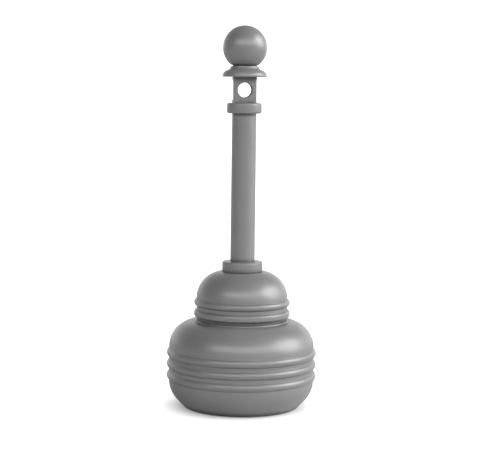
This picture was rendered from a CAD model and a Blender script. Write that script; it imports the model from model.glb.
"""A free-standing ashtray bin: ball finial, rain cap and square inlet head on a hollow post,
a domed cover, and a ballasted round base that holds a lift-out pail.

Each sub-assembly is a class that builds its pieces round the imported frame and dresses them.
"""

import logging
import math
from collections.abc import Callable, Iterator
from contextlib import contextmanager
from dataclasses import dataclass
from enum import Enum

import bmesh
import bpy
from mathutils import Matrix, Vector


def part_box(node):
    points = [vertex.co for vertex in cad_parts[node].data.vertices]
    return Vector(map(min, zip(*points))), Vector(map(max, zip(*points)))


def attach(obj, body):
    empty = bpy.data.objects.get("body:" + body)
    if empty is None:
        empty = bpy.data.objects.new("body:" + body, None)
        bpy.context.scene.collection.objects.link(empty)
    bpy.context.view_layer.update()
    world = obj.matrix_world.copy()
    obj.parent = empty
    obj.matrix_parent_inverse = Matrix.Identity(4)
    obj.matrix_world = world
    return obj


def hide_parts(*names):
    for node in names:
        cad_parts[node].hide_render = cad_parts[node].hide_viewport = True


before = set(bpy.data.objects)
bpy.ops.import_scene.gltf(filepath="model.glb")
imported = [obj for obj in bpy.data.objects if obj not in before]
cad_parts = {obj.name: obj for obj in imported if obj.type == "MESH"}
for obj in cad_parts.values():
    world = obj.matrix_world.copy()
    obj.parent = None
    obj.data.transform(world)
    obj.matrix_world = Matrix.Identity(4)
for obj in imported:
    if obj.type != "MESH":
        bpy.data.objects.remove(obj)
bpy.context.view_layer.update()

MM = 0.001
WELD = 0.005 * MM
SHARP = 40
SPIGOT_W = 53.6 * MM
SPIGOT_CORNER = 4 * MM
LOG = logging.getLogger("ashtray_bin")

Point = tuple[float, float]
Stops = tuple[Point, ...]
Triple = tuple[float, float, float]
Colour = tuple[float, float, float, float]


class Body(Enum):
    """The CAD bodies that the new pieces ride on."""

    HEAD = "head"
    BASE = "base"
    PAIL = "pail"
    GRIP = "grip"


class Solid(Enum):
    """How two closed shapes are put together."""

    JOIN = "UNION"
    CUT = "DIFFERENCE"
    MEET = "INTERSECT"


class Drive(Enum):
    """The recess in a screw's head."""

    CROSS = "cross"
    HEX = "hex"


# ---------------------------------------------------------------- modelling


def clear_selection() -> None:
    """Leaves edit mode and deselects everything."""
    if bpy.context.object and bpy.context.object.mode != "OBJECT":
        bpy.ops.object.mode_set(mode="OBJECT")
    bpy.ops.object.select_all(action="DESELECT")


def make_active(piece: bpy.types.Object) -> None:
    """Selects one piece alone and makes it active.

    Args:
        piece: The piece.
    """
    clear_selection()
    piece.select_set(True)
    bpy.context.view_layer.objects.active = piece


def settle(name: str) -> bpy.types.Object:
    """Names the active object and moves its place into its mesh.

    Args:
        name: The piece's name.

    Returns:
        The object, at the origin, unturned and unscaled.
    """
    piece = bpy.context.object
    piece.name = name
    piece.data.name = name
    bpy.ops.object.transform_apply(location=True, rotation=True, scale=True)
    return piece


@contextmanager
def editing(piece: bpy.types.Object, select: str = "VERT") -> Iterator[bpy.types.Object]:
    """Holds a piece in edit mode with nothing selected.

    Args:
        piece: The piece to edit.
        select: Selection mode, VERT, EDGE or FACE.

    Yields:
        The piece.
    """
    make_active(piece)
    bpy.ops.object.mode_set(mode="EDIT")
    bpy.ops.mesh.select_mode(type=select)
    bpy.ops.mesh.select_all(action="DESELECT")
    yield piece
    bpy.ops.object.mode_set(mode="OBJECT")


def pick_edges(piece: bpy.types.Object, wanted: Callable[[Vector, Vector], bool]) -> None:
    """Selects the edges of a piece in edit mode whose two ends pass a test.

    Args:
        piece: The piece that is in edit mode.
        wanted: Test of the edge's two ends.
    """
    mesh = bmesh.from_edit_mesh(piece.data)
    for edge in mesh.edges:
        edge.select_set(wanted(edge.verts[0].co, edge.verts[1].co))
    bmesh.update_edit_mesh(piece.data)


def pick_faces(piece: bpy.types.Object, wanted: Callable[[Vector, Vector], bool]) -> None:
    """Selects the faces of a piece in edit mode whose middle and normal pass a test.

    Args:
        piece: The piece that is in edit mode.
        wanted: Test of the face's middle and normal.
    """
    mesh = bmesh.from_edit_mesh(piece.data)
    for face in mesh.faces:
        face.select_set(wanted(face.calc_center_median(), face.normal))
    bmesh.update_edit_mesh(piece.data)


def apply_all(piece: bpy.types.Object) -> None:
    """Applies every modifier of a piece, in order."""
    make_active(piece)
    for modifier in list(piece.modifiers):
        bpy.ops.object.modifier_apply(modifier=modifier.name)


def combine(piece: bpy.types.Object, other: bpy.types.Object, how: Solid) -> None:
    """Puts a closed shape and a piece together, and removes the shape.

    Args:
        piece: The piece that is changed.
        other: The shape that is used up.
        how: Join, cut, or keep what they share.
    """
    modifier = piece.modifiers.new(how.name.lower(), "BOOLEAN")
    modifier.operation = how.value
    modifier.solver = "EXACT"
    modifier.object = other
    apply_all(piece)
    bpy.data.objects.remove(other)


def soften(piece: bpy.types.Object, width: float, steps: int = 2) -> None:
    """Rounds a piece's sharp edges.

    Args:
        piece: The piece.
        width: Width of the rounds in metres.
        steps: Faces across each round.
    """
    bevel = piece.modifiers.new("rounds", "BEVEL")
    bevel.width = width
    bevel.segments = steps
    bevel.limit_method = "ANGLE"
    bevel.angle_limit = math.radians(SHARP)
    bevel.use_clamp_overlap = True
    apply_all(piece)


def smooth(piece: bpy.types.Object, angle: float = 32, weighted: bool = False) -> None:
    """Shades a piece smooth except at sharp edges.

    Args:
        piece: The piece.
        angle: Edges that turn by more degrees than this stay sharp.
        weighted: Whether large faces set the normals beside them.
    """
    make_active(piece)
    bpy.ops.object.shade_smooth_by_angle(angle=math.radians(angle), keep_sharp_edges=True)
    if weighted:
        evened = piece.modifiers.new("normals", "WEIGHTED_NORMAL")
        evened.keep_sharp = True
        apply_all(piece)


def drum(
    name: str, radius: float, middle: Vector, length: float, axis: str, sides: int = 64
) -> bpy.types.Object:
    """Adds a round bar along one of the axes, for joining or cutting.

    Args:
        name: Its name.
        radius: Its radius.
        middle: Its middle.
        length: Its length.
        axis: X, Y or Z.
        sides: Faces round it.

    Returns:
        The bar.
    """
    clear_selection()
    turn = {"X": (0, math.pi / 2, 0), "Y": (math.pi / 2, 0, 0), "Z": (0, 0, 0)}[axis]
    bpy.ops.mesh.primitive_cylinder_add(
        vertices=sides, radius=radius, depth=length, location=middle, rotation=turn
    )
    return settle(name)


def rounded_block(
    name: str, width: float, corner: float, low: float, high: float
) -> bpy.types.Object:
    """Adds a square prism on the axis whose upright edges are rounded.

    Args:
        name: Its name.
        width: Distance across its flats.
        corner: Radius of its upright edges.
        low: Height of its underside.
        high: Height of its top.

    Returns:
        The prism.
    """
    clear_selection()
    bpy.ops.mesh.primitive_cube_add(
        size=1, location=(0, 0, (low + high) / 2), scale=(width, width, high - low)
    )
    piece = settle(name)
    with editing(piece, "EDGE"):
        pick_edges(piece, lambda a, b: abs(a.z - b.z) > (high - low) / 2)
        bpy.ops.mesh.bevel(offset=corner, offset_type="OFFSET", segments=8, affect="EDGES")
    return piece


def add_spigot(
    piece: bpy.types.Object, low: float, high: float, bore_r: float, sides: int, ease: float = 0
) -> None:
    """Adds the bored square spigot that fits in the head.

    Args:
        piece: The piece that gets it.
        low: Height of its underside.
        high: Height of its top.
        bore_r: Radius of its bore.
        sides: Faces round its bore.
        ease: Width of its rounded edges.
    """
    spigot = rounded_block("spigot", SPIGOT_W, SPIGOT_CORNER, low, high)
    middle = Vector((0, 0, (low + high) / 2))
    combine(spigot, drum("bore", bore_r, middle, 4 * (high - low), "Z", sides), Solid.CUT)
    if ease:
        soften(spigot, ease)
    combine(piece, spigot, Solid.JOIN)


class Outline:
    """A wire outline in the XZ plane, drawn upwards by extruding its last point, then revolved."""

    def __init__(self, name: str, radius: float, height: float) -> None:
        """Starts the outline at one point.

        Args:
            name: Name of the piece that it becomes.
            radius: Distance of the first point from the axis.
            height: Height of the first point.
        """
        clear_selection()
        bpy.ops.mesh.primitive_plane_add(size=MM)
        self.piece = settle(name)
        self.first = (radius, height)
        self.last = (radius, height)
        bpy.ops.object.mode_set(mode="EDIT")
        bpy.ops.mesh.select_mode(type="VERT")
        bpy.ops.mesh.select_all(action="SELECT")
        bpy.ops.mesh.merge(type="CENTER")
        bpy.ops.transform.translate(value=(radius, 0, height))

    def to(self, radius: float, height: float) -> "Outline":
        """Draws a straight run to a point.

        Args:
            radius: The point's distance from the axis.
            height: The point's height.

        Returns:
            The outline itself.
        """
        step = (radius - self.last[0], 0, height - self.last[1])
        if math.hypot(step[0], step[2]) > WELD:
            bpy.ops.mesh.extrude_vertices_move(TRANSFORM_OT_translate={"value": step})
            self.last = (radius, height)
        return self

    def arc(
        self, centre: Point, radius: float, start: float, end: float, steps: int = 8
    ) -> "Outline":
        """Draws an arc, with a straight run to its start.

        Args:
            centre: The arc's centre.
            radius: Its radius.
            start: Angle of its start in degrees, from the outward direction, upwards.
            end: Angle of its end.
            steps: Number of runs that it is drawn with.

        Returns:
            The outline itself.
        """
        for step in range(steps + 1):
            angle = math.radians(start + (end - start) * step / steps)
            self.to(centre[0] + radius * math.cos(angle), centre[1] + radius * math.sin(angle))
        return self

    def bead(self, wall: float, centre: Point, radius: float, blend: float) -> "Outline":
        """Draws a bead that stands out of an upright wall, with a small round where they meet.

        Args:
            wall: Distance of the wall from the axis.
            centre: Centre of the bead's round.
            radius: Radius of the bead's round.
            blend: Radius of the small rounds.

        Returns:
            The outline itself.
        """
        out = wall + blend - centre[0]
        rise = math.sqrt((radius + blend) ** 2 - out**2)
        lean = math.degrees(math.atan2(rise, out))
        self.arc((wall + blend, centre[1] - rise), blend, 180, 180 - lean, 3)
        self.arc(centre, radius, -lean, lean, 14)
        self.arc((wall + blend, centre[1] + rise), blend, 180 + lean, 180, 3)
        return self

    def revolve(
        self, steps: int = 144, axis: Point = (0, 1), close: bool = True
    ) -> bpy.types.Object:
        """Closes the outline and spins it into a solid of revolution.

        Args:
            steps: Number of faces round the axis.
            axis: Direction of the axis through the origin, in X and Z.
            close: Whether the last point is joined to the first.

        Returns:
            The piece.
        """
        if close:
            self.to(*self.first)
        bpy.ops.mesh.select_all(action="SELECT")
        bpy.ops.mesh.spin(
            steps=steps, angle=math.tau, center=(0, 0, 0), axis=(axis[0], 0, axis[1])
        )
        bpy.ops.mesh.select_all(action="SELECT")
        bpy.ops.mesh.remove_doubles(threshold=WELD)
        bpy.ops.mesh.normals_make_consistent(inside=False)
        bpy.ops.object.mode_set(mode="OBJECT")
        return self.piece


def copies(piece: bpy.types.Object, places: list[Matrix], name: str) -> bpy.types.Object:
    """Sets a copy of a piece at each place, joins them and removes the first one.

    Args:
        piece: The piece, modelled at the origin.
        places: Where each copy goes.
        name: Name of the joined piece.

    Returns:
        The joined piece.
    """
    made = []
    for place in places:
        copy = piece.copy()
        copy.data = piece.data.copy()
        bpy.context.scene.collection.objects.link(copy)
        copy.matrix_world = place
        made.append(copy)
    bpy.data.objects.remove(piece)
    clear_selection()
    for copy in made:
        copy.select_set(True)
    bpy.context.view_layer.objects.active = made[0]
    bpy.ops.object.transform_apply(location=True, rotation=True, scale=True)
    bpy.ops.object.join()
    joined = bpy.context.object
    joined.name = name
    joined.data.name = name
    return joined


def ring_places(count: int, radius: float, height: float, down: bool = False) -> list[Matrix]:
    """Places evenly round the axis, half a step from the X axis.

    Args:
        count: Number of places.
        radius: Their distance from the axis.
        height: Their height.
        down: Whether a piece that points up is turned to point down.

    Returns:
        One matrix for each place.
    """
    flip = Matrix.Rotation(math.pi if down else 0, 4, "X")
    return [
        Matrix.Rotation((turn + 0.5) * math.tau / count, 4, "Z")
        @ Matrix.Translation((radius, 0, height))
        @ flip
        for turn in range(count)
    ]


def outward_places(angles: tuple[float, ...], radius: float, height: float) -> list[Matrix]:
    """Places on an upright face that point away from the axis.

    Args:
        angles: Angles round the axis in degrees.
        radius: Distance from the axis.
        height: Height.

    Returns:
        One matrix for each angle.
    """
    return [
        Matrix.Rotation(math.radians(angle), 4, "Z")
        @ Matrix.Translation((radius, 0, height))
        @ Matrix.Rotation(math.pi / 2, 4, "Y")
        for angle in angles
    ]


# ---------------------------------------------------------------- finishes


def feed(socket: bpy.types.NodeSocket, value: object) -> None:
    """Gives a socket a value, or links it to another socket."""
    if isinstance(value, bpy.types.NodeSocket):
        socket.id_data.links.new(value, socket)
    else:
        socket.default_value = value


class Bench:
    """The node tree of one material, with short calls to add and join nodes."""

    def __init__(self, name: str) -> None:
        """Starts a material with a principled shader.

        Args:
            name: The material's name.
        """
        self.material = bpy.data.materials.new(name)
        self.material.use_nodes = True
        self.tree = self.material.node_tree
        self.shader = self.tree.nodes["Principled BSDF"]
        self.place = self.node("ShaderNodeTexCoord").outputs["Object"]

    def node(self, kind: str, **sockets: object) -> bpy.types.Node:
        """Adds a node.

        Args:
            kind: The node's type.
            **sockets: Values or sockets for its inputs by name, with _ for a space.

        Returns:
            The node.
        """
        made = self.tree.nodes.new(kind)
        for name, value in sockets.items():
            feed(made.inputs[name.replace("_", " ")], value)
        return made

    def shade(self, **sockets: object) -> None:
        """Gives the shader's inputs values or sockets, by name with _ for a space."""
        for name, value in sockets.items():
            feed(self.shader.inputs[name.replace("_", " ")], value)

    def noise(
        self, scale: float, detail: float = 2, stretch: Triple = (1, 1, 1)
    ) -> bpy.types.NodeSocket:
        """Adds noise that lies still on the piece.

        Args:
            scale: Features to the metre.
            detail: Finer layers.
            stretch: Scale of each axis.

        Returns:
            The noise's value socket.
        """
        placed = self.node("ShaderNodeMapping", Scale=stretch, Vector=self.place)
        vector = placed.outputs["Vector"]
        made = self.node("ShaderNodeTexNoise", Scale=scale, Detail=detail, Vector=vector)
        return made.outputs["Fac"]

    def cells(self, scale: float) -> bpy.types.NodeSocket:
        """Adds a cell pattern.

        Args:
            scale: Cells to the metre.

        Returns:
            The socket of a random grey for each cell.
        """
        made = self.node("ShaderNodeTexVoronoi", Scale=scale, Vector=self.place)
        split = self.node("ShaderNodeSeparateColor", Color=made.outputs["Color"])
        return split.outputs["Red"]

    def spread(
        self,
        source: bpy.types.NodeSocket,
        low: float,
        high: float,
        start: float = 0.3,
        end: float = 0.7,
    ) -> bpy.types.NodeSocket:
        """Maps a value to a range.

        Args:
            source: The value.
            low: Result at the start.
            high: Result at the end.
            start: Value that gives low.
            end: Value that gives high.

        Returns:
            The mapped value's socket.
        """
        made = self.node("ShaderNodeMapRange", From_Min=start, From_Max=end, Value=source)
        feed(made.inputs["To Min"], low)
        feed(made.inputs["To Max"], high)
        return made.outputs["Result"]

    def blend(
        self, share: bpy.types.NodeSocket, first: object, second: object
    ) -> bpy.types.NodeSocket:
        """Mixes two colours.

        Args:
            share: How much of the second shows.
            first: A colour or a socket.
            second: A colour or a socket.

        Returns:
            The mixed colour's socket.
        """
        made = self.node("ShaderNodeMix")
        made.data_type = "RGBA"
        for name, value in (("Factor", share), ("A", first), ("B", second)):
            feed(made.inputs[name], value)
        return made.outputs["Result"]

    def edges(self, low: float, high: float) -> bpy.types.NodeSocket:
        """Adds a mask of the convex edges."""
        made = self.node("ShaderNodeNewGeometry")
        return self.spread(made.outputs["Pointiness"], 0, 1, low, high)

    def hollows(self, reach: float, low: float, high: float) -> bpy.types.NodeSocket:
        """Adds a mask of grooves and crevices, where dirt and shade gather.

        Args:
            reach: How far to look for facing walls, in metres.
            low: Openness at which the mask is full.
            high: Openness at which it ends.

        Returns:
            The mask's socket.
        """
        made = self.node("ShaderNodeAmbientOcclusion", Distance=reach)
        made.samples = 8
        return self.spread(made.outputs["AO"], 1, 0, low, high)

    def bump(self, source: bpy.types.NodeSocket, strength: float, depth: float) -> None:
        """Adds relief on top of what the shader has.

        Args:
            source: The relief's height, from 0 to 1.
            strength: How much of it shows.
            depth: Its depth in metres.
        """
        made = self.node("ShaderNodeBump", Strength=strength, Distance=depth, Height=source)
        below = self.shader.inputs["Normal"].links
        if below:
            feed(made.inputs["Normal"], below[0].from_socket)
        self.shade(Normal=made.outputs["Normal"])


def grey(value: float, warmth: float = 0.0) -> Colour:
    """A linear grey, a little warm or cool."""
    return (value * (1 + warmth), value, value * (1 - warmth), 1)


@dataclass(frozen=True)
class Finish:
    """What all finishes share: a name, the record's slot and how the material is made."""

    name: str
    slot: str

    def material(self) -> bpy.types.Material:
        """Makes the finish's material on first use.

        Returns:
            The material.
        """
        found = bpy.data.materials.get(self.name)
        if found:
            return found
        bench = Bench(self.name)
        self.mix(bench)
        return bench.material

    def mix(self, bench: Bench) -> None:
        """Lays the finish's nodes on the bench."""
        raise NotImplementedError


@dataclass(frozen=True)
class SatinPlastic(Finish):
    """Through-coloured moulded plastic with a fine satin skin."""

    tone: float = 0.142
    gloss_low: float = 0.3
    gloss_high: float = 0.4
    ior: float = 1.58
    dirt_reach: float = 18 * MM

    def mix(self, bench: Bench) -> None:
        """Lays slow mottling, specks, paler edges, soiled grooves, scuffs and a fine skin.

        Args:
            bench: The bench to lay them on.
        """
        mottle = bench.spread(bench.noise(9, 4), 0, 1, 0.35, 0.65)
        body = bench.blend(mottle, grey(self.tone * 0.96), grey(self.tone * 1.04))
        specks = bench.spread(bench.noise(1400, 1), 0, 0.12, 0.62, 0.78)
        speckled = bench.blend(specks, body, grey(self.tone * 1.5))
        worn = bench.blend(bench.edges(0.53, 0.62), speckled, grey(self.tone * 1.2))
        crevice = bench.hollows(self.dirt_reach, 0.25, 0.85)
        bench.shade(Base_Color=bench.blend(crevice, worn, grey(self.tone * 0.08)), IOR=self.ior)
        skin = bench.noise(620, 3)
        scuffs = bench.spread(bench.noise(38, 5, (1, 1, 0.35)), self.gloss_low, self.gloss_high)
        rough = bench.node("ShaderNodeMath")
        rough.operation = "ADD"
        feed(rough.inputs[0], scuffs)
        feed(rough.inputs[1], bench.spread(skin, -0.03, 0.03))
        bench.shade(Roughness=rough.outputs[0])
        bench.bump(skin, 0.25, 0.06 * MM)
        bench.bump(bench.noise(26, 2), 0.3, 0.35 * MM)


@dataclass(frozen=True)
class ZincSheet(Finish):
    """Galvanised sheet with spangle, dulled by handling."""

    dark: Colour = (0.46, 0.48, 0.5, 1)
    pale: Colour = (0.62, 0.64, 0.66, 1)
    soil: Colour = (0.22, 0.2, 0.18, 1)

    def mix(self, bench: Bench) -> None:
        """Lays zinc crystals, grime in patches and fine scratches.

        Args:
            bench: The bench to lay them on.
        """
        spangle = bench.cells(85)
        grime = bench.spread(bench.noise(14, 6), 0, 0.75, 0.52, 0.75)
        colour = bench.blend(grime, bench.blend(spangle, self.dark, self.pale), self.soil)
        rough = bench.spread(spangle, 0.34, 0.5, 0, 1)
        bench.shade(Base_Color=colour, Metallic=1, Roughness=rough)
        bench.bump(bench.noise(300, 3, (1, 1, 0.1)), 0.2, 0.08 * MM)
        bench.bump(spangle, 0.15, 0.05 * MM)


@dataclass(frozen=True)
class ScrewSteel(Finish):
    """Plated steel of screws, nuts and the stud."""

    dark: Colour = (0.5, 0.5, 0.49, 1)
    pale: Colour = (0.62, 0.62, 0.6, 1)
    bare: Colour = (0.75, 0.75, 0.74, 1)

    def mix(self, bench: Bench) -> None:
        """Lays turning marks, dulled patches and bright edges.

        Args:
            bench: The bench to lay them on.
        """
        dull = bench.spread(bench.noise(420, 3), 0, 1)
        body = bench.blend(dull, self.dark, self.pale)
        colour = bench.blend(bench.edges(0.52, 0.62), body, self.bare)
        rough = bench.spread(dull, 0.24, 0.42, 0, 1)
        bench.shade(Base_Color=colour, Metallic=1, Roughness=rough)
        bench.bump(bench.noise(2600, 2, (1, 1, 5)), 0.2, 0.02 * MM)


@dataclass(frozen=True)
class CastIron(Finish):
    """Sand-cast iron with a thin dark paint."""

    rust: Colour = (0.13, 0.06, 0.03, 1)

    def mix(self, bench: Bench) -> None:
        """Lays sand grain, rust blooms and rubbed edges.

        Args:
            bench: The bench to lay them on.
        """
        bloom = bench.spread(bench.noise(24, 7), 0, 0.6, 0.56, 0.74)
        body = bench.blend(bloom, grey(0.045), self.rust)
        rubbed = bench.blend(bench.edges(0.53, 0.64), body, grey(0.16))
        grain = bench.noise(520, 5)
        bench.shade(Base_Color=rubbed, Metallic=0.3, Roughness=bench.spread(grain, 0.55, 0.8))
        bench.bump(grain, 0.6, 0.35 * MM)


@dataclass(frozen=True)
class Brass(Finish):
    """Turned brass of the tapped plug."""

    bright: Colour = (0.72, 0.5, 0.19, 1)
    dull: Colour = (0.42, 0.28, 0.11, 1)

    def mix(self, bench: Bench) -> None:
        """Lays tarnish and turning marks.

        Args:
            bench: The bench to lay them on.
        """
        tarnish = bench.spread(bench.noise(130, 5), 0, 0.8)
        colour = bench.blend(tarnish, self.bright, self.dull)
        rough = bench.spread(tarnish, 0.22, 0.45, 0, 1)
        bench.shade(Base_Color=colour, Metallic=1, Roughness=rough)
        bench.bump(bench.noise(900, 2, (1, 1, 6)), 0.2, 0.03 * MM)


@dataclass(frozen=True)
class MattBlack(Finish):
    """Rubber or a textured black plastic."""

    tone: float = 0.02
    rough: float = 0.7

    def mix(self, bench: Bench) -> None:
        """Lays bloom, dust in patches and a fine grain.

        Args:
            bench: The bench to lay them on.
        """
        dust = bench.spread(bench.noise(60, 6), 0, 0.5, 0.5, 0.78)
        colour = bench.blend(dust, grey(self.tone), grey(self.tone * 3, 0.05))
        grain = bench.noise(1500, 2)
        rough = bench.spread(grain, self.rough - 0.08, self.rough + 0.08)
        bench.shade(Base_Color=colour, Roughness=rough)
        bench.bump(grain, 0.4, 0.08 * MM)


PLASTIC = SatinPlastic("satin_grey_plastic", "grey_plastic")
INNER_PLASTIC = SatinPlastic("inner_grey_plastic", "grey_plastic", 0.17, 0.45, 0.58)
ZINC = ZincSheet("galvanised_sheet", "zinc_sheet")
STEEL = ScrewSteel("plated_steel", "screw_steel")
IRON = CastIron("painted_cast_iron", "cast_iron")
BRASS = Brass("turned_brass", "brass")
RUBBER = MattBlack("black_rubber", "rubber", 0.018, 0.74)
GRIP = MattBlack("grip_plastic", "grip_plastic", 0.024, 0.5)


def dress(piece: bpy.types.Object, finish: Finish, body: Body, node: str) -> None:
    """Gives a finished piece its material, its body and the CAD node it stands for.

    Args:
        piece: The piece.
        finish: Its finish.
        body: The body that it rides on.
        node: The CAD node that it stands for.
    """
    piece.data.materials.clear()
    piece.data.materials.append(finish.material())
    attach(piece, body.value)
    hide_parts(node)
    LOG.info("%s: %d faces on %s", piece.name, len(piece.data.polygons), body.value)


def carry_over(finish: Finish, *nodes: str) -> None:
    """Gives CAD nodes whose shape is right a better material.

    Args:
        finish: Their finish.
        *nodes: The nodes' names.
    """
    for name in nodes:
        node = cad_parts[name]
        for place in node.material_slots:
            place.material = finish.material()
        LOG.info("%s: carried over", name)


# ---------------------------------------------------------------- hardware


@dataclass
class Screw:
    """A screw modelled at the origin, its head up and its shank down."""

    head_r: float
    head_h: float
    shank_r: float
    drive: Drive = Drive.CROSS
    length: float = 6 * MM

    def build(self, name: str) -> bpy.types.Object:
        """Turns the screw and cuts its recess.

        Args:
            name: The piece's name.

        Returns:
            The screw, its head's underside at the origin.
        """
        edge = self.head_h * 0.3
        tip = self.shank_r * 0.4
        turned = Outline(name, 0, self.head_h)
        crown = self.head_r * 0.62
        turned.to(crown * 0.5, self.head_h * 0.985).to(crown, self.head_h * 0.93)
        turned.to(self.head_r - edge, self.head_h * 0.8)
        turned.arc((self.head_r - edge, edge), edge, 45, 0, 3)
        turned.to(self.head_r, edge * 0.4).to(self.head_r - edge * 0.3, 0)
        turned.to(self.shank_r, 0).to(self.shank_r, tip - self.length)
        turned.to(self.shank_r - tip, -self.length).to(0, -self.length)
        piece = turned.revolve(32, close=False)
        depth = self.head_h * 0.65
        middle = Vector((0, 0, self.head_h))
        if self.drive is Drive.HEX:
            combine(piece, drum("socket", self.head_r * 0.5, middle, 2 * depth, "Z", 6), Solid.CUT)
        else:
            for turn in (0, math.pi / 2):
                clear_selection()
                bpy.ops.mesh.primitive_cube_add(
                    size=1,
                    location=middle,
                    rotation=(0, 0, turn),
                    scale=(self.head_r * 1.15, self.head_r * 0.26, 2 * depth),
                )
                combine(piece, settle("slot"), Solid.CUT)
        smooth(piece, 30)
        return piece

    def set_ring(
        self, node: str, name: str, body: Body, count: int, pitch: float, down: bool = False
    ) -> None:
        """Sets upright screws evenly round the axis, as long as a CAD node is high.

        Args:
            node: The CAD node that they stand for.
            name: The joined piece's name.
            body: The body that they ride on.
            count: Number of screws.
            pitch: Their distance from the axis.
            down: Whether their heads are down.
        """
        low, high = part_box(node)
        self.length = high.z - low.z - self.head_h
        seat = low.z + self.head_h if down else high.z - self.head_h
        places = ring_places(count, pitch, seat, down)
        dress(copies(self.build(name + "_one"), places, name), STEEL, body, node)

    def set_flat(self, node: str, name: str, angles: tuple[float, ...], seat: float) -> None:
        """Sets level screws round an upright face of the head.

        Args:
            node: The CAD node that they stand for.
            name: The joined piece's name.
            angles: Angles round the axis in degrees.
            seat: Distance of their heads' seat from the axis.
        """
        low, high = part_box(node)
        places = outward_places(angles, seat, (low.z + high.z) / 2)
        dress(copies(self.build(name + "_one"), places, name), STEEL, Body.HEAD, node)


def tap_screw() -> Screw:
    """The small pan screw that holds the post, the cap and the collar."""
    return Screw(3.6 * MM, 2 * MM, 2 * MM)


# ---------------------------------------------------------------- finial, cap and head


@dataclass
class FinialAndCap:
    """The ball finial and the rain cap that it is screwed down on."""

    ball_wall: float = 4.5 * MM
    web: float = 11.7 * MM
    plug_r: float = 18 * MM
    foot_r: float = 36.4 * MM
    neck_r: float = 37 * MM
    groove: float = 5 * MM
    flare_r: float = 14.9 * MM
    flare_lean: float = 61
    fillet_r: float = 9 * MM
    lip_r: float = 2.4 * MM
    gap_h: float = 3 * MM
    pocket_r: float = 15 * MM
    stud_web: float = 4 * MM
    spigot_h: float = 9 * MM
    stud_bore: float = 5.2 * MM

    def build_ball(self) -> bpy.types.Object:
        """Turns the hollow ball round the bore for its plug.

        Returns:
            The ball.
        """
        low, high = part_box("ball_finial")
        radius = (high.x - low.x) / 2
        foot, middle = low.z, high.z - radius
        start = math.degrees(math.atan2(foot - middle, self.foot_r))
        inner = radius - self.ball_wall
        web_z = foot + self.web
        inner_r = math.sqrt(inner**2 - (web_z - middle) ** 2)
        inner_start = math.degrees(math.atan2(web_z - middle, inner_r))
        edge = 0.5 * MM
        ball = Outline("finial_ball", self.plug_r, foot)
        ball.to(self.foot_r - edge, foot)
        ball.arc((0, middle), radius, start + 0.6, 90, 44)
        ball.arc((0, middle), inner, 90, inner_start, 24)
        ball.to(self.plug_r, web_z)
        piece = ball.revolve()
        smooth(piece)
        return piece

    def build_cap(self) -> bpy.types.Object:
        """Turns the flared cap and adds the square spigot that fits in the head.

        Returns:
            The cap.
        """
        low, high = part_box("rain_cap")
        rim_r, top = high.x, high.z
        under = low.z + self.spigot_h
        seat = top - self.web - self.stud_web
        waist = self.neck_r - self.groove
        flare = (rim_r - self.flare_r, under + 3 * MM)
        fillet = (self.neck_r + self.fillet_r, top - 3.3 * MM)
        cap = Outline("rain_cap_moulding", self.pocket_r, under)
        cap.to(rim_r - 16 * MM, under)
        cap.arc((rim_r - 13.5 * MM, under - 1.6 * MM), 3 * MM, 148, 32, 5)
        cap.arc((rim_r - self.lip_r, under + self.lip_r), self.lip_r, -90, 0, 5)
        cap.arc(flare, self.flare_r, 4, self.flare_lean, 12)
        cap.arc(fillet, self.fillet_r, 180 + self.flare_lean, 183, 10)
        cap.arc((self.neck_r - 0.6 * MM, top - self.gap_h - 0.6 * MM), 0.6 * MM, 0, 90, 3)
        cap.to(waist + 0.5 * MM, top - self.gap_h)
        cap.to(waist, top - self.gap_h + 0.5 * MM)
        cap.to(waist, top)
        cap.to(self.stud_bore, top).to(self.stud_bore, seat).to(self.pocket_r, seat)
        piece = cap.revolve()
        add_spigot(piece, low.z, under + 0.5 * MM, self.pocket_r, 64, 0.5 * MM)
        smooth(piece)
        return piece

    def build(self) -> None:
        """Builds and dresses the ball, the cap and their hidden fittings."""
        dress(self.build_ball(), PLASTIC, Body.HEAD, "ball_finial")
        dress(self.build_cap(), PLASTIC, Body.HEAD, "rain_cap")
        carry_over(BRASS, "finial_plug")
        carry_over(STEEL, "finial_stud", "finial_washer", "finial_nut")


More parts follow.
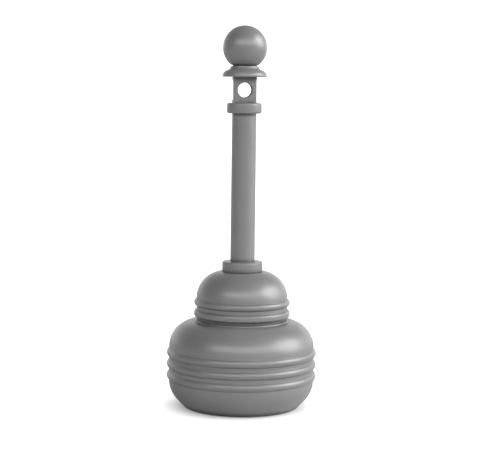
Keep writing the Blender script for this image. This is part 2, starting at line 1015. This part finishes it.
@dataclass
class InletHead:
    """The square head with its two holes, the ring under it and their screws."""

    corner_r: float = 8 * MM
    crown_r: float = 330 * MM
    crown_sides: int = 1080
    wall: float = 4 * MM
    hole_r: float = 19.2 * MM
    hole_up: float = 33.6 * MM
    screw_bore: float = 2.2 * MM
    ring_round: float = 5 * MM
    ring_h: float = 27.5 * MM
    sleeve_r: float = 28.8 * MM
    sleeve_bore: float = 25.8 * MM
    pocket_r: float = 32.3 * MM
    pocket_h: float = 10 * MM

    def build_housing(self) -> bpy.types.Object:
        """Hollows a rounded square, cuts its holes and rounds their lips.

        Returns:
            The housing.
        """
        low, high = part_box("inlet_head")
        width = high.x - low.x
        piece = rounded_block("inlet_housing", width, self.corner_r, low.z, high.z)
        with editing(piece, "FACE"):
            pick_faces(piece, lambda middle, normal: abs(normal.z) > 0.5)
            bpy.ops.mesh.delete(type="FACE")
        shell = piece.modifiers.new("wall", "SOLIDIFY")
        shell.thickness = self.wall
        shell.offset = -1
        shell.use_even_offset = True
        apply_all(piece)
        back = self.crown_r - width / 2
        for x, y in ((back, 0), (-back, 0), (0, back), (0, -back)):
            middle = Vector((x, y, (low.z + high.z) / 2))
            bow = drum("bow", self.crown_r, middle, width * 3, "Z", self.crown_sides)
            combine(piece, bow, Solid.MEET)
        hole = Vector((0, 0, low.z + self.hole_up))
        combine(piece, drum("hole", self.hole_r, hole, 2 * width, "Y", 72), Solid.CUT)
        soften(piece, 0.9 * MM, 3)
        for node in ("collar_screws", "cap_screws"):
            a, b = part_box(node)
            bore = Vector((0, 0, (a.z + b.z) / 2))
            combine(piece, drum("bore", self.screw_bore, bore, 2 * width, "X", 24), Solid.CUT)
        smooth(piece, weighted=True)
        return piece

    def build_ring(self) -> bpy.types.Object:
        """Turns the upper collar with its sleeve, and adds the square spigot.

        Returns:
            The collar.
        """
        low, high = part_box("upper_collar")
        outer = high.x
        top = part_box("inlet_head")[0].z
        foot = top - self.ring_h
        round_r = self.ring_round
        ring = Outline("upper_collar_ring", self.sleeve_bore, low.z)
        ring.to(self.sleeve_r - 0.5 * MM, low.z).to(self.sleeve_r, low.z + 0.5 * MM)
        ring.to(self.sleeve_r, foot + self.pocket_h).to(self.pocket_r, foot + self.pocket_h)
        ring.to(self.pocket_r, foot + 0.6 * MM).to(self.pocket_r + 0.6 * MM, foot)
        ring.arc((outer - round_r, foot + round_r), round_r, -90, 0, 8)
        ring.arc((outer - round_r, top - round_r), round_r, 0, 90, 8)
        ring.to(self.sleeve_bore, top)
        piece = ring.revolve()
        add_spigot(piece, top - 0.5 * MM, high.z, self.sleeve_bore, 144)
        smooth(piece)
        return piece

    def build(self) -> None:
        """Builds and dresses the head, its collar and its screws."""
        dress(self.build_housing(), PLASTIC, Body.HEAD, "inlet_head")
        dress(self.build_ring(), PLASTIC, Body.HEAD, "upper_collar")
        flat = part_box("inlet_head")[1].x
        for node in ("cap_screws", "collar_screws"):
            tap_screw().set_flat(node, node + "_pan", (0, 180), flat)


# ---------------------------------------------------------------- post and dome


@dataclass
class Post:
    """The hollow post, the collar at its foot and their screws at the back."""

    wall: float = 3.1 * MM
    collar_round: float = 4 * MM
    fit: float = 0.2 * MM
    grub_r: float = 3 * MM
    grub_sunk: float = 1 * MM
    grub_socket_r: float = 1.7 * MM
    back_angles: Point = (55, 125)
    rings: int = 8

    def build_pipe(self) -> bpy.types.Object:
        """Turns the post's pipe with eased ends.

        Returns:
            The pipe.
        """
        low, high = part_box("post_tube")
        outer = high.x
        bore = outer - self.wall
        ease = 0.6 * MM
        pipe = Outline("post_pipe", bore + ease, low.z)
        pipe.to(outer - ease, low.z).to(outer, low.z + ease)
        for share in range(1, self.rings + 1):
            pipe.to(outer, low.z + ease + (high.z - low.z - 2 * ease) * share / self.rings)
        pipe.to(outer - ease, high.z).to(bore + ease, high.z).to(bore, high.z - ease)
        pipe.to(bore, low.z + ease)
        piece = pipe.revolve()
        smooth(piece)
        return piece

    def build_collar(self) -> bpy.types.Object:
        """Turns the lower collar and drills it for the grub screws.

        Returns:
            The collar.
        """
        low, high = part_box("lower_collar")
        outer = high.x
        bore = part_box("post_tube")[1].x + self.fit
        ease, round_r = 0.6 * MM, self.collar_round
        ring = Outline("lower_collar_ring", bore, low.z)
        ring.arc((outer - ease, low.z + ease), ease, -90, 0, 3)
        ring.arc((outer - round_r, high.z - round_r), round_r, 0, 90, 10)
        ring.to(bore + ease, high.z).to(bore, high.z - ease)
        piece = ring.revolve()
        a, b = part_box("grub_screws")
        for place in outward_places(self.back_angles, 0, (a.z + b.z) / 2):
            middle = Vector((0, 0, 45 * MM))
            hole = drum("hole", self.grub_r + 0.05 * MM, middle, 40 * MM, "Z", 28)
            hole.matrix_world = place
            combine(piece, hole, Solid.CUT)
        smooth(piece)
        return piece

    def build_grubs(self) -> bpy.types.Object:
        """Turns a grub screw with a hex socket and sets one in each hole.

        Returns:
            The grub screws, as one piece.
        """
        low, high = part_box("grub_screws")
        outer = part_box("lower_collar")[1].x - self.grub_sunk
        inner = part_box("post_tube")[1].x
        ease = 0.4 * MM
        grub = Outline("grub_one", 0, 0)
        grub.to(self.grub_r - ease, 0).to(self.grub_r, -ease)
        grub.to(self.grub_r, ease - (outer - inner)).to(self.grub_r - ease, inner - outer)
        grub.to(0, inner - outer)
        piece = grub.revolve(28, close=False)
        socket = drum("socket", self.grub_socket_r, Vector(), 4 * MM, "Z", 6)
        combine(piece, socket, Solid.CUT)
        smooth(piece, 30)
        places = outward_places(self.back_angles, outer, (low.z + high.z) / 2)
        return copies(piece, places, "grub_screws_socket")

    def build(self) -> None:
        """Builds and dresses the post, its collar and its screws."""
        dress(self.build_pipe(), PLASTIC, Body.HEAD, "post_tube")
        dress(self.build_collar(), PLASTIC, Body.HEAD, "lower_collar")
        dress(self.build_grubs(), STEEL, Body.HEAD, "grub_screws")
        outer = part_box("post_tube")[1].x
        tap_screw().set_flat("post_top_screws", "post_screws_pan", self.back_angles, outer)


@dataclass
class Dome:
    """The domed cover with its two beads and the skirt that plugs into the base."""

    wall_r: float = 119.9 * MM
    wall: float = 4 * MM
    sweep_r: float = 70 * MM
    flat_r: float = 49.9 * MM
    wall_h: float = 57.5 * MM
    bead_up: float = 45.7 * MM
    bead_r: float = 9.7 * MM
    band_up: float = 16.7 * MM
    band_r: float = 7 * MM
    band_h: float = 6 * MM
    proud: float = 6.5 * MM
    skirt_r: float = 117.9 * MM
    skirt_wall: float = 3.5 * MM
    skirt_depth: float = 18 * MM
    foot_r: float = 120.95 * MM
    recess_r: float = 118.2 * MM
    post_bore: float = 29 * MM
    blend_r: float = 0.7 * MM
    screw_count: int = 4
    screw_pitch: float = 42.65 * MM
    around: int = 160

    def build_cover(self) -> bpy.types.Object:
        """Turns the cover, with small rounds where the beads meet the wall.

        Returns:
            The cover.
        """
        low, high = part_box("dome_cover")
        seat = low.z + self.skirt_depth
        spring = seat + self.wall_h
        band = (self.wall_r + self.proud - self.band_r, seat + self.band_up)
        bead = (self.wall_r + self.proud - self.bead_r, seat + self.bead_up)
        half = self.band_h / 2
        out = self.wall_r + self.blend_r - band[0]
        rise = math.sqrt((self.band_r + self.blend_r) ** 2 - out**2)
        lean = math.degrees(math.atan2(rise, out))
        below = self.recess_r + self.blend_r - band[0]
        drop = math.sqrt((self.band_r + self.blend_r) ** 2 - below**2)
        tuck = math.degrees(math.atan2(drop, below))
        cover = Outline("dome_moulding", self.skirt_r - self.skirt_wall, low.z)
        cover.to(self.skirt_r - 0.8 * MM, low.z).to(self.skirt_r, low.z + 0.8 * MM)
        cover.to(self.skirt_r, seat)
        cover.arc((self.foot_r - 0.5 * MM, seat + 0.5 * MM), 0.5 * MM, -90, 60, 3)
        cover.to(self.recess_r, seat + 1.6 * MM)
        cover.arc(
            (self.recess_r + self.blend_r, band[1] - half - drop), self.blend_r, 180, 180 - tuck, 4
        )
        cover.arc((band[0], band[1] - half), self.band_r, -tuck, 0, 9)
        cover.arc((band[0], band[1] + half), self.band_r, 0, lean, 8)
        cover.arc(
            (self.wall_r + self.blend_r, band[1] + half + rise), self.blend_r, 180 + lean, 180, 3
        )
        cover.bead(self.wall_r, bead, self.bead_r, self.blend_r)
        cover.arc((self.flat_r, spring), self.sweep_r, 0, 90, 30)
        cover.to(self.post_bore, high.z)
        cover.to(self.post_bore, high.z - self.wall)
        cover.arc((self.flat_r, spring), self.sweep_r - self.wall, 90, 0, 20)
        cover.to(self.wall_r - self.wall, seat + self.wall + 2 * MM)
        cover.to(self.skirt_r - self.skirt_wall, seat + self.wall)
        piece = cover.revolve(self.around)
        smooth(piece, 38)
        return piece

    def build(self) -> None:
        """Builds and dresses the cover and what holds the post on it."""
        dress(self.build_cover(), PLASTIC, Body.HEAD, "dome_cover")
        carry_over(INNER_PLASTIC, "post_socket")
        screw = Screw(4 * MM, 3 * MM, 2.2 * MM)
        count, pitch = self.screw_count, self.screw_pitch
        screw.set_ring("socket_screws", "socket_screws_pan", Body.HEAD, count, pitch, True)


# ---------------------------------------------------------------- base


@dataclass
class Base:
    """The two base shells, the ballast weight, the feet and their fasteners."""

    wall_r: float = 191.5 * MM
    wall: float = 4 * MM
    shoulder_sweep: float = 68.5 * MM
    bowl_sweep: float = 72 * MM
    bowl_angle: float = 44
    bowl_z: float = 72.5 * MM
    low_bead: float = 84 * MM
    pitch: float = 30.5 * MM
    bead_r: float = 12 * MM
    proud: float = 5.8 * MM
    shoulder_z: float = 160.5 * MM
    seam_z: float = 129.75 * MM
    rim_r: float = 122.8 * MM
    mouth_r: float = 118.5 * MM
    rim_proud: float = 3.5 * MM
    rim_depth: float = 10 * MM
    flange_w: float = 22 * MM
    flange_t: float = 5 * MM
    floor_z: float = 8 * MM
    ring_w: float = 12 * MM
    blend_r: float = 0.8 * MM
    seam_pitch: float = 178.5 * MM
    seam_count: int = 6
    seam_bore: float = 2.6 * MM
    foot_pitch: float = 111.979 * MM
    foot_count: int = 4
    foot_r: float = 14 * MM
    foot_bore: float = 7 * MM
    foot_web: float = 3 * MM
    around: int = 176

    def bead_centre(self, index: int) -> Point:
        """Centre of a bead's round, counted from the lowest."""
        return (self.wall_r + self.proud - self.bead_r, self.low_bead + index * self.pitch)

    def build_shoulder(self) -> bpy.types.Object:
        """Turns the upper shell from its seam flange to the rim of its mouth.

        Returns:
            The shell.
        """
        rim_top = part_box("shoulder_shell")[1].z
        top = rim_top - self.rim_proud
        centre = (self.wall_r - self.shoulder_sweep, self.shoulder_z)
        inner = self.wall_r - self.wall
        ease = 0.7 * MM
        shell = Outline("shoulder_moulding", self.wall_r - self.flange_w, self.seam_z)
        shell.to(self.wall_r - ease, self.seam_z + 0.15 * MM)
        shell.arc((self.wall_r - ease, self.seam_z + ease), ease, -60, 0, 3)
        shell.bead(self.wall_r, self.bead_centre(2), self.bead_r, self.blend_r)
        run = self.rim_r + 1.2 * MM - centre[0]
        reach = math.degrees(math.acos(run / self.shoulder_sweep))
        shell.arc(centre, self.shoulder_sweep, 0, reach, 30)
        shell.to(self.rim_r + 0.3 * MM, top + 0.3 * MM).to(self.rim_r, top + 0.9 * MM)
        round_r = self.rim_proud - 0.9 * MM
        shell.arc((self.rim_r - round_r, rim_top - round_r), round_r, 0, 90, 6)
        shell.arc((self.mouth_r + 0.8 * MM, rim_top - 0.8 * MM), 0.8 * MM, 90, 180, 4)
        shell.to(self.mouth_r, top - self.rim_depth + 0.5 * MM)
        shell.to(self.mouth_r + 0.5 * MM, top - self.rim_depth)
        shell.to(self.rim_r, top - self.rim_depth)
        shell.to(self.rim_r, top - self.wall)
        shell.arc(centre, self.shoulder_sweep - self.wall, 89, 0, 22)
        shell.to(inner, self.seam_z + self.flange_t)
        shell.to(self.wall_r - self.flange_w, self.seam_z + self.flange_t)
        piece = shell.revolve(self.around)
        self.drill_seam(piece)
        smooth(piece, 38)
        return piece

    def build_bowl(self) -> bpy.types.Object:
        """Turns the lower shell from its foot ring to its seam flange.

        Returns:
            The shell.
        """
        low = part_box("base_bowl")[0].z
        centre = (self.wall_r - self.bowl_sweep, self.bowl_z)
        lean = math.radians(self.bowl_angle)
        slope_r = centre[0] + self.bowl_sweep * math.cos(lean)
        slope_z = centre[1] - self.bowl_sweep * math.sin(lean)
        fall = math.tan(lean)
        outer_foot = slope_r - (slope_z - low) * fall
        ring_in = slope_r - slope_z * fall - self.ring_w
        inner = self.wall_r - self.wall
        floor_in = self.floor_z + self.wall
        in_sweep = self.bowl_sweep - self.wall
        in_slope_r = centre[0] + in_sweep * math.cos(lean)
        in_slope_z = centre[1] - in_sweep * math.sin(lean)
        ease = 0.7 * MM
        shell = Outline("bowl_moulding", 0, self.floor_z)
        shell.to(60 * MM, self.floor_z).to(ring_in, self.floor_z).to(ring_in, low + 1 * MM)
        shell.to(ring_in + 1 * MM, low).to(outer_foot - 1.5 * MM, low)
        shell.to(outer_foot + 0.9 * MM, low + 1.1 * MM)
        shell.arc(centre, self.bowl_sweep, -self.bowl_angle, 0, 22)
        for index in (0, 1):
            shell.bead(self.wall_r, self.bead_centre(index), self.bead_r, self.blend_r)
        shell.arc((self.wall_r - ease, self.seam_z - ease), ease, 0, 60, 3)
        shell.to(self.wall_r - ease, self.seam_z - 0.15 * MM)
        shell.to(self.wall_r - self.flange_w, self.seam_z)
        shell.to(self.wall_r - self.flange_w, self.seam_z - self.flange_t)
        shell.to(inner, self.seam_z - self.flange_t).to(inner, self.bowl_z)
        shell.arc(centre, in_sweep, 0, -self.bowl_angle, 16)
        shell.to(in_slope_r - (in_slope_z - floor_in) * fall, floor_in).to(0, floor_in)
        piece = shell.revolve(self.around, close=False)
        self.drill_seam(piece)
        smooth(piece, 38)
        return piece

    def drill_seam(self, piece: bpy.types.Object) -> None:
        """Drills a shell's seam flange for the screws."""
        for place in ring_places(self.seam_count, self.seam_pitch, self.seam_z):
            hole = drum("hole", self.seam_bore, Vector(), 4 * self.flange_t, "Z", 20)
            hole.matrix_world = place
            combine(piece, hole, Solid.CUT)

    def build_foot(self) -> bpy.types.Object:
        """Turns one rubber foot and sets a copy at each corner.

        Returns:
            The feet, as one piece.
        """
        ease = 1.2 * MM
        bolt = 3.2 * MM
        foot = Outline("foot_one", self.foot_bore + ease / 2, 0)
        foot.to(9.5 * MM, 0).to(10 * MM, 0.8 * MM).to(11 * MM, 0.8 * MM).to(11.5 * MM, 0)
        foot.arc((self.foot_r - ease, ease), ease, -90, 0, 4)
        neck = self.foot_r - 0.8 * MM
        foot.to(self.foot_r, self.floor_z - 2.4 * MM).to(neck, self.floor_z - 1.6 * MM)
        foot.to(neck, self.floor_z)
        foot.to(bolt, self.floor_z).to(bolt, self.floor_z - self.foot_web)
        foot.to(self.foot_bore, self.floor_z - self.foot_web)
        foot.to(self.foot_bore, ease / 2)
        piece = foot.revolve(48)
        smooth(piece)
        places = ring_places(self.foot_count, self.foot_pitch, 0)
        return copies(piece, places, "rubber_feet_moulded")

    def build(self) -> None:
        """Builds and dresses the shells, the feet, the weight and the fasteners."""
        dress(self.build_shoulder(), PLASTIC, Body.BASE, "shoulder_shell")
        dress(self.build_bowl(), PLASTIC, Body.BASE, "base_bowl")
        dress(self.build_foot(), RUBBER, Body.BASE, "rubber_feet")
        bolt = Screw(5.5 * MM, 4 * MM, 3 * MM, Drive.HEX)
        bolt.set_ring(
            "foot_bolts", "foot_bolts_socket", Body.BASE, self.foot_count, self.foot_pitch, True
        )
        screw = Screw(4.6 * MM, 3 * MM, 2.4 * MM, Drive.HEX)
        screw.set_ring(
            "seam_screws", "seam_screws_socket", Body.BASE, self.seam_count, self.seam_pitch
        )
        carry_over(STEEL, "seam_nuts")
        carry_over(IRON, "ballast_weight")


# ---------------------------------------------------------------- pail


@dataclass
class Pail:
    """The lift-out pail with its ears, bail and grip."""

    sheet: float = 1 * MM
    curl_r: float = 3 * MM
    foot_r: float = 78 * MM
    top_r: float = 94 * MM
    swage: float = 0.9 * MM
    swage_step: float = 1.2 * MM
    swage_heights: Point = (0.28, 0.62)
    wire_gap: float = 2.58 * MM
    around: int = 128

    def side(self, up: float, height: float) -> float:
        """Radius of the outside at a height above the foot."""
        return self.foot_r + (self.top_r - self.foot_r) / height * up

    def draw_swages(self, body: Outline, foot: float, height: float, order: int) -> None:
        """Draws the swages up the outside or down the inside.

        Args:
            body: The outline.
            foot: Height of the pail's foot.
            height: Height of the tapered wall.
            order: 1 to go up the outside, -1 to go down the inside.
        """
        inset = 0 if order == 1 else self.sheet
        for share in self.swage_heights[::order]:
            for step in range(-3, 4)[::order]:
                up = height * share + step * self.swage_step
                swell = self.swage * (1 + math.cos(math.pi * step / 3)) / 2
                body.to(self.side(up, height) + swell - inset, foot + up)

    def build_body(self) -> bpy.types.Object:
        """Turns the tapered body with its rolled rim and two swages.

        Returns:
            The pail's body.
        """
        low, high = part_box("pail_shell")
        curl_z = high.z - self.curl_r
        curl_c = self.top_r + self.curl_r - self.sheet / 2
        height = curl_z - low.z
        body = Outline("pail_body", self.foot_r - self.sheet, low.z)
        body.to(self.foot_r, low.z)
        self.draw_swages(body, low.z, height, 1)
        join = math.degrees(math.asin(1 - self.sheet / 2 / self.curl_r))
        body.arc((curl_c, curl_z), self.curl_r, 180 + (90 - join), 360 + 148, 18)
        body.to(curl_c - self.curl_r + 0.1 * MM, curl_z + 0.6 * MM)
        body.to(self.top_r - self.sheet, curl_z - 1 * MM)
        self.draw_swages(body, low.z, height, -1)
        piece = body.revolve(self.around)
        smooth(piece)
        return piece

    def build_floor(self) -> bpy.types.Object:
        """Turns the pail's dished floor.

        Returns:
            The floor.
        """
        low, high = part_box("pail_floor")
        outer = -low.x
        rise = high.z - low.z
        floor = Outline("pail_floor_dish", 0, low.z)
        floor.to(outer - 8 * MM, low.z).to(outer - 0.6 * MM, low.z)
        floor.to(outer - 0.1 * MM, low.z + rise / 2)
        floor.to(outer - 0.1 * MM, high.z).to(outer - 8 * MM, high.z)
        floor.to(outer - 10 * MM, high.z - 0.3 * MM).to(0, high.z - 0.3 * MM)
        piece = floor.revolve(self.around, close=False)
        smooth(piece)
        return piece

    def build_grip(self) -> bpy.types.Object:
        """Turns the ribbed grip on the bail's straight stretch.

        Returns:
            The grip.
        """
        low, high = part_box("bail_grip")
        middle = (low + high) / 2
        half = (high.x - low.x) / 2
        radius = (high.z - low.z) / 2
        ease, rib, ribs = 1.5 * MM, 0.8 * MM, 6
        grip = Outline("bail_grip_moulding", -half, self.wire_gap)
        grip.to(-half, radius - ease - 1 * MM).to(-half + ease, radius - 0.2 * MM)
        grip.to(-half + 8 * MM, radius)
        pitch = (2 * half - 24 * MM) / ribs
        for index in range(ribs):
            start = -half + 12 * MM + index * pitch
            grip.to(start, radius).to(start + 1 * MM, radius - rib)
            grip.to(start + pitch - 4 * MM, radius - rib).to(start + pitch - 3 * MM, radius)
        grip.to(half - 8 * MM, radius).to(half - ease, radius - 0.2 * MM)
        grip.to(half, radius - ease - 1 * MM).to(half, self.wire_gap)
        piece = grip.revolve(40, (1, 0))
        smooth(piece)
        make_active(piece)
        piece.location = middle
        bpy.ops.object.transform_apply(location=True, rotation=True, scale=True)
        return piece

    def build(self) -> None:
        """Builds and dresses the pail, its floor, its ears, the bail and the grip."""
        dress(self.build_body(), ZINC, Body.PAIL, "pail_shell")
        dress(self.build_floor(), ZINC, Body.PAIL, "pail_floor")
        dress(self.build_grip(), GRIP, Body.GRIP, "bail_grip")
        carry_over(ZINC, "ear_left", "ear_right", "bail_handle")
        carry_over(STEEL, "ear_rivets")


# ---------------------------------------------------------------- studio


def towards(azimuth: float, elevation: float) -> Vector:
    """Direction to a point round the bin.

    Args:
        azimuth: Angle from the front towards +X, in degrees.
        elevation: Angle above the floor, in degrees.

    Returns:
        A vector one unit long.
    """
    turn, lift = math.radians(azimuth), math.radians(elevation)
    level = math.cos(lift)
    return Vector((math.sin(turn) * level, -math.cos(turn) * level, math.sin(lift)))


class Surround:
    """The world's node tree, with short calls to shape its glow by direction."""

    def __init__(self, name: str) -> None:
        """Starts a world and gives it to the scene.

        Args:
            name: The world's name.
        """
        world = bpy.data.worlds.new(name)
        bpy.context.scene.world = world
        world.use_nodes = True
        self.nodes = world.node_tree.nodes
        self.place = self.nodes.new("ShaderNodeTexCoord").outputs["Generated"]

    def maths(self, kind: str, operation: str, *values: object) -> bpy.types.NodeSocket:
        """Adds a maths node.

        Args:
            kind: The node's type.
            operation: What it works out.
            *values: Values or sockets for its inputs, in order.

        Returns:
            The result's socket.
        """
        made = self.nodes.new(kind)
        made.operation = operation
        for socket, value in zip(made.inputs, values):
            feed(socket, value)
        return made.outputs["Value"]

    def along(self, azimuth: float, elevation: float, stops: Stops) -> bpy.types.NodeSocket:
        """Adds a glow that changes along one direction.

        Args:
            azimuth: The direction's angle from the front towards +X, in degrees.
            elevation: Its angle above the floor, in degrees.
            stops: Cosines of the angle to it, with the glow at each.

        Returns:
            The glow's socket.
        """
        reach = self.maths(
            "ShaderNodeVectorMath", "DOT_PRODUCT", self.place, towards(azimuth, elevation)
        )
        ramp = self.nodes.new("ShaderNodeValToRGB")
        feed(ramp.inputs["Fac"], reach)
        elements = ramp.color_ramp.elements
        for end, (position, value) in ((elements[0], stops[0]), (elements[1], stops[-1])):
            end.position, end.color = position, grey(value)
        for position, value in stops[1:-1]:
            elements.new(position).color = grey(value)
        return ramp.outputs["Color"]


@dataclass
class Studio:
    """A pale floor, soft light and the camera."""

    distance: float = 4.06
    height: float = 0.872
    heading: float = 4.0
    pitch: float = 5.46
    aside: float = 0.264
    roll: float = 0.73
    lens: float = 111.6
    sensor: float = 36
    floor_size: float = 60
    floor_glow: float = 1.8
    contact: float = 60 * MM
    sky: Stops = ((0, 1.8), (0.1, 1.6), (0.3, 1.2), (0.6, 0.4), (1, 0.1))
    back: Stops = ((0.2, 0.13), (0.6, 1))
    back_turn: float = 168
    strip: Stops = ((0.05, 0), (0.3, 0.34), (0.42, 0.95), (0.54, 0.95), (0.66, 0))
    strip_ends: Stops = ((0.08, 0), (0.3, 1))
    strip_turn: float = 23
    strip_glow: float = 5.6
    key_turn: float = 84
    key_lift: float = 25
    key_spread: float = 50
    key_strength: float = 2.7

    def build_floor(self, name: str, tone: float, shown: bool) -> None:
        """Lays the pale lit floor, or the duller one under it that throws light back.

        Args:
            name: The floor's name.
            tone: Its grey.
            shown: Whether it is the floor that is seen.
        """
        clear_selection()
        height = 0 if shown else -1 * MM
        bpy.ops.mesh.primitive_plane_add(size=self.floor_size, location=(0, 0, height))
        floor = settle(name)
        bench = Bench(name)
        tint = bench.spread(bench.noise(1.5, 3), 0, 1)
        colour = bench.blend(tint, grey(tone), grey(tone * 0.98))
        bench.shade(Base_Color=colour, Roughness=0.8, Specular_IOR_Level=0.1)
        if shown:
            near = bench.hollows(self.contact, 0.05, 0.92)
            glow = bench.blend(near, colour, grey(tone * 0.1))
            bench.shade(Emission_Color=glow, Emission_Strength=self.floor_glow)
        floor.data.materials.append(bench.material)
        floor.visible_camera = shown
        floor.visible_diffuse = floor.visible_glossy = floor.visible_shadow = not shown

    def build_key(self) -> None:
        """Adds the broad, distant light from the side."""
        data = bpy.data.lights.new("key", "SUN")
        data.angle = math.radians(self.key_spread)
        data.energy = self.key_strength
        light = bpy.data.objects.new("key", data)
        bpy.context.scene.collection.objects.link(light)
        light.rotation_mode = "QUATERNION"
        light.rotation_quaternion = towards(self.key_turn, self.key_lift).to_track_quat("Z", "Y")

    def build_surround(self) -> None:
        """Sets the surround that the skin reflects; the camera sees it white."""
        world = Surround("surround")
        maths = "ShaderNodeMath"
        sky, back = world.along(0, 90, self.sky), world.along(self.back_turn, 0, self.back)
        backdrop = world.maths(maths, "MULTIPLY", sky, back)
        level = world.along(0, 90, self.strip)
        ends = world.along(self.strip_turn, 0, self.strip_ends)
        strip = world.maths(maths, "MULTIPLY", level, ends)
        total = world.maths(maths, "MULTIPLY_ADD", strip, self.strip_glow, backdrop)
        seen = world.nodes.new("ShaderNodeLightPath").outputs["Is Camera Ray"]
        glow = world.nodes["Background"]
        feed(glow.inputs["Color"], world.maths(maths, "MAXIMUM", total, seen))
        feed(glow.inputs["Strength"], 1.0)

    def build_camera(self) -> None:
        """Sets up the camera at its height, heading and tilt."""
        data = bpy.data.cameras.new("view")
        data.lens = self.lens
        data.sensor_width = self.sensor
        data.clip_end = 100
        data.dof.use_dof = False
        camera = bpy.data.objects.new("view", data)
        bpy.context.scene.collection.objects.link(camera)
        heading = math.radians(self.heading)
        place = Vector(
            (-math.sin(heading) * self.distance, -math.cos(heading) * self.distance, self.height)
        )
        turn = (
            Matrix.Rotation(-heading - math.radians(self.aside), 4, "Z")
            @ Matrix.Rotation(math.radians(90 - self.pitch), 4, "X")
            @ Matrix.Rotation(math.radians(self.roll), 4, "Z")
        )
        camera.matrix_world = Matrix.Translation(place) @ turn
        bpy.context.scene.camera = camera

    def build(self) -> None:
        """Builds the floor, the lights and the camera."""
        self.build_floor("studio_floor", 0.5, True)
        self.build_floor("studio_bounce", 0.66, False)
        self.build_surround()
        self.build_key()
        self.build_camera()
        view = bpy.context.scene.view_settings
        view.view_transform = "Standard"
        view.look = "None"


def main() -> None:
    """Builds every sub-assembly in order."""
    logging.basicConfig(level=logging.INFO, format="%(message)s")
    for assembly in (FinialAndCap(), InletHead(), Post(), Dome(), Base(), Pail(), Studio()):
        assembly.build()
        LOG.info("%s: done", type(assembly).__name__)
    bpy.context.view_layer.update()


if __name__ == "__main__":
    main()
